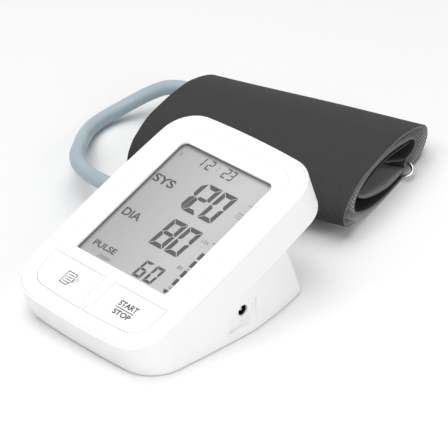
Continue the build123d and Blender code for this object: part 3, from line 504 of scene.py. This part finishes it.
def upright_bar(outer, inner, far, near, gap):
    """An upright segment: mitred at its far end, half pointed at the middle."""
    step = abs(inner - outer) * (1 if far > near else -1)
    gap = gap if far > near else -gap
    return [
        (outer, far - gap),
        (inner, far - gap - step),
        (inner, near + gap + step / 2),
        ((outer + inner) / 2, near + gap),
        (outer, near + gap),
    ]


def digit_shapes(character, box, thick, lean):
    """The lit segments of one character in a (left, low, right, high) box."""
    left, low, right_side, high = box
    gap = thick * gap_share
    middle = (low + high) / 2
    inner_left = left + thick
    inner_right = right_side - thick
    point_in = thick / 2 + gap
    places = {
        "a": level_bar(left + gap, right_side - gap, high, high - thick, thick),
        "g": middle_bar(left + point_in, right_side - point_in, middle, thick * middle_share),
        "d": level_bar(left + gap, right_side - gap, low, low + thick, thick),
        "f": upright_bar(left, inner_left, high, middle, gap),
        "b": upright_bar(right_side, inner_right, high, middle, gap),
        "e": upright_bar(left, inner_left, low, middle, gap),
        "c": upright_bar(right_side, inner_right, low, middle, gap),
    }
    shapes = []
    for name in segments_on[character]:
        shapes.append([(u + (v - middle) * lean, v) for u, v in places[name]])
    return shapes


print("characters:", "".join(sorted(segments_on)))

# %% [markdown]
# ## What the display shows
# Each row of readings gives its characters, where each starts and ends, the row's foot
# and top, and the thickness of its bars. Boxes are (left, low, right, high).
# Positions were read off the photo on the face plane. The display lies deeper, so
# they are carried back along the camera's line of sight before they are drawn.

# %% Display contents
ink_lift = 0.03
ink_depth = display_depth - ink_lift
digit_lean = 0.09
readings = [
    ("120", [(-9.6, 0.4), (0.6, 10.1), (11.7, 21.3)], 4.9, 24.8, 2.7),
    ("80", [(0.6, 10.5), (11.7, 21.2)], -20.0, -1.2, 2.6),
    ("60", [(7.6, 13.4), (15.3, 21.2)], -39.7, -28.5, 1.65),
    ("12", [(-15.2, -11.6), (-9.0, -5.3)], 31.0, 37.6, 0.85),
    ("23", [(2.5, 6.1), (6.6, 9.9)], 31.0, 37.6, 0.85),
]
digit_marks = []
for number, spans, low, high, thick in readings:
    for character, (left, right_side) in zip(number, spans):
        digit_marks += digit_shapes(character, (left, low, right_side, high), thick, digit_lean)
scale_boxes = [
    (30.2, -15.4, 32.4, -11.0),
    (30.2, -21.2, 32.4, -16.8),
    (30.2, -28.1, 32.4, -23.7),
    (30.2, -33.9, 32.4, -29.7),
    (30.4, -3.8, 32.3, -3.5),
    (30.4, -22.8, 32.3, -22.4),
    (30.4, -35.4, 32.4, -35.0),
    (30.4, -36.4, 32.4, -36.0),
]
scale_foot = [(29.0, -37.6), (32.4, -37.6), (31.4, -39.7), (30.0, -39.7)]
scale_marks = [*(bar(*box) for box in scale_boxes), scale_foot]
clock_boxes = [
    (-2.2, 33.0, -1.6, 33.7),
    (-1.9, 35.2, -1.3, 35.9),
    (-27.6, 31.8, -26.8, 33.8),
]
faint_boxes = [
    (29.4, 23.7, 32.4, 24.1),
    (28.4, 17.4, 32.4, 17.8),
    (28.4, 15.8, 32.4, 16.1),
    (28.4, 14.5, 32.4, 14.8),
]
for name, marks, ink in (
    ("digits", digit_marks, segment_ink),
    ("pressure_scale", scale_marks, segment_ink),
    ("clock_marks", [bar(*box) for box in clock_boxes], thin_ink),
    ("faint_marks", [bar(*box) for box in faint_boxes], thin_ink),
):
    add_marks(name, behind_window(marks, ink_depth), ink_depth, ink, "unit")
print("segments and marks:", len(digit_marks) + len(scale_marks))

# %% [markdown]
# The words are stretched to the boxes that they fill in the photo. The last number of
# each row is how much bolder than the plain letter it is drawn.

# %% Display words
display_words = [
    ("word_sys", "SYS", (-29.2, 12.1), (-14.9, 17.5), segment_ink, 0.025),
    ("word_dia", "DIA", (-27.3, -12.8), (-15.2, -7.7), segment_ink, 0.025),
    ("word_pulse", "PULSE", (-26.0, -35.2), (-10.2, -31.5), segment_ink, 0.025),
    ("word_per_minute", "/min", (-17.9, -39.9), (-9.5, -37.0), thin_ink, 0.01),
    ("word_135", "135", (24.5, -6.2), (28.9, -4.2), thin_ink, 0.01),
    ("word_85", "85", (25.2, -25.0), (28.4, -22.8), thin_ink, 0.01),
]
for name, words, low, high, ink, weight in display_words:
    low, high = behind_window([[low, high]], ink_depth)[0]
    add_words(name, words, (*low, *high), ink_depth, ink, "unit", weight)
print("words on the display:", len(display_words))

# %% [markdown]
# ## Lettering on the keys
# On the real keys this is printed ink. The right key carries two words and a line. The
# left key carries an icon of a written page with a small pencil beside it.

# %% Right key
key_weight = 0.03
word_line = bar(14.6, -58.2, 27.4, -57.7)
for name, words, box in (
    ("word_start", "START", (14.8, -56.8, 27.7, -53.5)),
    ("word_stop", "STOP", (15.6, -62.2, 27.3, -59.1)),
):
    add_words(name, words, box, -ink_lift, key_ink, "start_key", key_weight)
add_marks("word_line", [word_line], -ink_lift, key_ink, "start_key")
print("the words stand", ink_lift, "mm above the key")

# %% [markdown]
# The page is five strokes, one of them across its folded corner, with four rows that
# each have a square and a line. The pencil is a thin outline.

# %% Left key
page_left, page_right, page_low, page_high = -23.4, -17.1, -61.4, -53.9
page_line = 0.5
overlap = page_line / 2
fold_width, fold_height = 1.7, 2.6
foot_short = 1.6
page_strokes = [
    ((page_left, page_low), (page_left, page_high)),
    ((page_left - overlap, page_high), (page_right, page_high)),
    ((page_right, page_high + overlap), (page_right, page_low + fold_height)),
    ((page_left - overlap, page_low), (page_right - foot_short, page_low)),
    ((page_right, page_low + fold_height), (page_right - fold_width, page_low)),
]
page_marks = [stroke(start, end, page_line) for start, end in page_strokes]
first_row, row_pitch, row_count = 1.6, 1.45, 4
square_left, square_right, square_half = page_left + 1.2, page_left + 1.9, 0.3
writing_left, writing_right, writing_half = page_left + 2.3, page_right - 1.0, 0.25
for row in range(row_count):
    height = page_high - first_row - row * row_pitch
    page_marks.append(bar(square_left, height - square_half, square_right, height + square_half))
    page_marks.append(bar(writing_left, height - writing_half, writing_right, height + writing_half))
add_marks("page_icon", page_marks, -ink_lift, key_ink, "memory_key")
pencil_line = 0.3
pencil_tip = (-17.0, -58.8)
pencil_body = [(-16.6, -57.4), (-14.9, -55.6), (-14.1, -56.5), (-15.8, -58.3)]
pencil_corners = [pencil_tip, *pencil_body, pencil_tip]
pencil_marks = [stroke(a, b, pencil_line) for a, b in zip(pencil_corners, pencil_corners[1:])]
add_marks("pencil_icon", pencil_marks, -ink_lift, thin_ink, "memory_key")
print("icon marks:", len(page_marks) + len(pencil_marks))

# %% [markdown]
# ## Cuff strip
# The cuff is one strip of cloth, folded through a wire bar. Cloth simulation could
# drape it, but here the folds are known from the photo, so its section is drawn and
# carried along the cuff. The section is a smooth curve through the points of the CAD
# shell, with a few more between them: from the hem over the lower rail, round the arm
# space, through the bar and round again.

# %% Cuff section
upper_rail = (27.0, 7.5)
lower_rail = (20.5, 2.85)
loop_radius = 2.1
loop_steps = 4
sample_spacing = 1.6
hem_run = [(-37.5, 19.2), (-28.5, 14.3), (-15.7, 9.8), (-6.0, 7.3), (2.5, 5.6), (12.0, 5.0)]
belly_run = [(11.5, 0.75), (2.9, 0.9), (-10.5, 2.3), (-25.4, 5.2)]
belly_run += [(-39.5, 10.4), (-43.9, 15.2), (-40.8, 21.4)]
arch_run = [(-26.9, 26.0), (-10.3, 26.9), (6.6, 25.6), (23.9, 22.5)]
arch_run += [(36.0, 19.0), (39.6, 14.4), (36.0, 10.4)]
return_run = [(37.6, 2.6), (49.0, 3.8), (56.6, 11.4), (51.6, 18.8), (23.3, 27.1), (0.4, 29.05)]
loose_run = [(-16.0, 29.1), (-32.4, 28.4), (-43.5, 25.7), (-52.0, 22.2)]
loose_run += [(-57.0, 15.6), (-52.4, 9.2), (-42.0, 6.0)]


def half_turn(centre, start, end):
    """Points round a rail from one angle to another, in degrees."""
    points = []
    for step in range(loop_steps + 1):
        angle = math.radians(start + (end - start) * step / loop_steps)
        points.append(
            (centre[0] + loop_radius * math.cos(angle), centre[1] + loop_radius * math.sin(angle))
        )
    return points


def smooth_curve(points, spacing):
    """A rounded line through the points, with a sample about every spacing."""
    line = [Vector((*point, 0)) for point in points]
    line = [line[0] * 2 - line[1], *line, line[-1] * 2 - line[-2]]
    samples = []
    for before, start, end, after in zip(line, line[1:], line[2:], line[3:]):
        span = (end - start).length
        count = max(2, round(span / spacing))
        enter = (end - before).normalized() * span
        leave = (after - start).normalized() * span
        for step in range(count):
            t = step / count
            samples.append(
                start * (2 * t**3 - 3 * t**2 + 1)
                + enter * (t**3 - 2 * t**2 + t)
                + end * (3 * t**2 - 2 * t**3)
                + leave * (t**3 - t**2)
            )
    samples.append(line[-2])
    return samples


strip_points = [
    *hem_run,
    *half_turn(lower_rail, 90, -90),
    *belly_run,
    *arch_run,
    *half_turn(upper_rail, 90, 270),
    *return_run,
    *loose_run,
]
strip_line = smooth_curve(strip_points, sample_spacing)

# %% [markdown]
# The section is carried along the cuff's axis in even steps. Real cloth is never quite
# even, so a sum of two slow waves moves it in and out by up to a quarter of a
# millimetre. Each wave is given by how slowly it turns over the strip's width and
# over its run. In the photo the outer wrap stands higher at the hose end, so it is
# loosened there by a share that eases in along the strip.

# %% Cuff cloth points
width_steps = 40
wave_height = 0.12
waves = [(17, 23), (41, -13)]
outer_run = 250.0
outer_ease = 40.0
hose_end_narrow = 0.045
hose_end_lift = 0.16


def loosened(place, run, along):
    """The outer wrap stands rounder and higher at the hose end than at the bar."""
    free = min(max((run - outer_run) / outer_ease, 0.0), 1.0)
    share = free * free * (3 - 2 * free) * (1 - along / cuff_width)
    return place.x * (1 - hose_end_narrow * share), place.y * (1 + hose_end_lift * share)


runs = [0.0]
for a, b in zip(strip_line, strip_line[1:]):
    runs.append(runs[-1] + (b - a).length)
cloth_points = []
for index, (place, run) in enumerate(zip(strip_line, runs)):
    ahead = strip_line[min(index + 1, len(strip_line) - 1)]
    behind = strip_line[max(index - 1, 0)]
    tangent = (ahead - behind).normalized()
    normal = Vector((-tangent.y, tangent.x, 0))
    for step in range(width_steps + 1):
        along = cuff_width * step / width_steps
        ripple = sum(math.sin(along / by_width + run / by_run) for by_width, by_run in waves)
        moved = place + normal * wave_height * ripple
        cloth_points.append(on_cuff(*loosened(moved, run, along), along))
print("cloth points:", len(cloth_points))

# %% [markdown]
# Four neighbouring points make a face. The flat place of each point goes into the UV
# layer that the weave reads. A Solidify modifier gives the sheet its thickness with a
# second material inside and a third at the cut edge, and a Bevel rounds that edge.

# %% Cuff cloth
edge_round_share = 0.22
edge_angle = math.radians(50)
row_length = width_steps + 1
cloth_faces = []
for index in range(len(strip_line) - 1):
    for step in range(width_steps):
        corner = index * row_length + step
        cloth_faces.append((corner, corner + 1, corner + row_length + 1, corner + row_length))
cuff_cloth = add_mesh("cuff_cloth", cloth_points, cloth_faces, cuff_fabric, "cuff_set")
cuff_cloth.data.materials.append(inner_fabric)
cuff_cloth.data.materials.append(cut_edge)
layer = cuff_cloth.data.uv_layers.new(name="weave")
for loop in cuff_cloth.data.loops:
    index, step = divmod(loop.vertex_index, row_length)
    layer.data[loop.index].uv = (runs[index], cuff_width * step / width_steps)
cuff_cloth.data.shade_smooth()
solid = cuff_cloth.modifiers.new("thickness", "SOLIDIFY")
solid.thickness = shell_thickness * MM
solid.offset = 0.0
solid.use_even_offset = True
# The inside takes the darker inner cloth, which is partly painted shade for the shadow inside the cuff.
solid.material_offset = 1
solid.material_offset_rim = 2
rounded = cuff_cloth.modifiers.new("rounded_edge", "BEVEL")
rounded.width = shell_thickness * edge_round_share * MM
rounded.segments = 2
rounded.limit_method = "ANGLE"
rounded.angle_limit = edge_angle
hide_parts("cuff_shell")
print("cuff cloth faces:", len(cuff_cloth.data.polygons))

# %% [markdown]
# ## Studio
# The photo was taken on white with soft light. A white floor carries the soft shadows.
# The surroundings are white for what the camera sees and for reflections, but dim as a
# light, so that the lamps alone decide how bright each side of the unit is.

# %% Floor and surroundings
floor_reach = 6
dim = 0.1
white = (1, 1, 1, 1)
floor_corners = [(x * floor_reach, y * floor_reach, 0) for x, y in ((-1, -1), (1, -1), (1, 1), (-1, 1))]
floor_mesh = bpy.data.meshes.new("floor")
floor_mesh.from_pydata(floor_corners, [], [(0, 1, 2, 3)])
floor_mesh.materials.append(plain_material("floor_white", "#F6F6F6", 0.8))
floor = bpy.data.objects.new("floor", floor_mesh)
bpy.context.scene.collection.objects.link(floor)

world = bpy.data.worlds.new("studio")
bpy.context.scene.world = world
world.use_nodes = True
world_tree = world.node_tree
world_tree.nodes.clear()
ray = add_node(world_tree, "ShaderNodeLightPath")
shown_white = ray.outputs["Is Camera Ray"]
for kind in ("Is Glossy Ray", "Is Transmission Ray"):
    either = add_node(
        world_tree, "ShaderNodeMath", shown_white, ray.outputs[kind], operation="MAXIMUM"
    )
    shown_white = either.outputs[0]
studio_light = add_node(world_tree, "ShaderNodeBackground", Color=white, Strength=dim)
white_light = add_node(world_tree, "ShaderNodeBackground", Color=white, Strength=1.0)
mixed = add_node(
    world_tree, "ShaderNodeMixShader", shown_white, studio_light.outputs[0], white_light.outputs[0]
)
add_node(world_tree, "ShaderNodeOutputWorld", Surface=mixed.outputs[0])
print("surroundings as a light:", dim)

# %% [markdown]
# Two large lamps hang overhead and one stands to the right. A large lamp gives soft
# shadows. The powers come from renders with one lamp at a time, and were then set a
# little lower or higher. Each row is a place, a target, a size and a power.

# %% Lamps
lamps = [
    ("front_lamp", (0.1, -0.8, 1.65), (0, 0.05, 0), 1.6, 25),
    ("back_lamp", (-0.5, 0.5, 1.7), (0, 0.05, 0), 1.6, 14),
    ("right_lamp", (1.7, -0.1, 0.9), (0, 0.05, 0.03), 1.2, 13),
]
for name, place, target, size, power in lamps:
    light = bpy.data.lights.new(name, "AREA")
    light.shape = "SQUARE"
    light.size = size
    light.energy = power
    lamp = bpy.data.objects.new(name, light)
    bpy.context.scene.collection.objects.link(lamp)
    lamp.location = place
    direction = Vector(target) - Vector(place)
    lamp.rotation_euler = direction.to_track_quat("-Z", "Y").to_euler()

bpy.context.scene.view_settings.view_transform = "Standard"
print("lamps:", len(lamps))
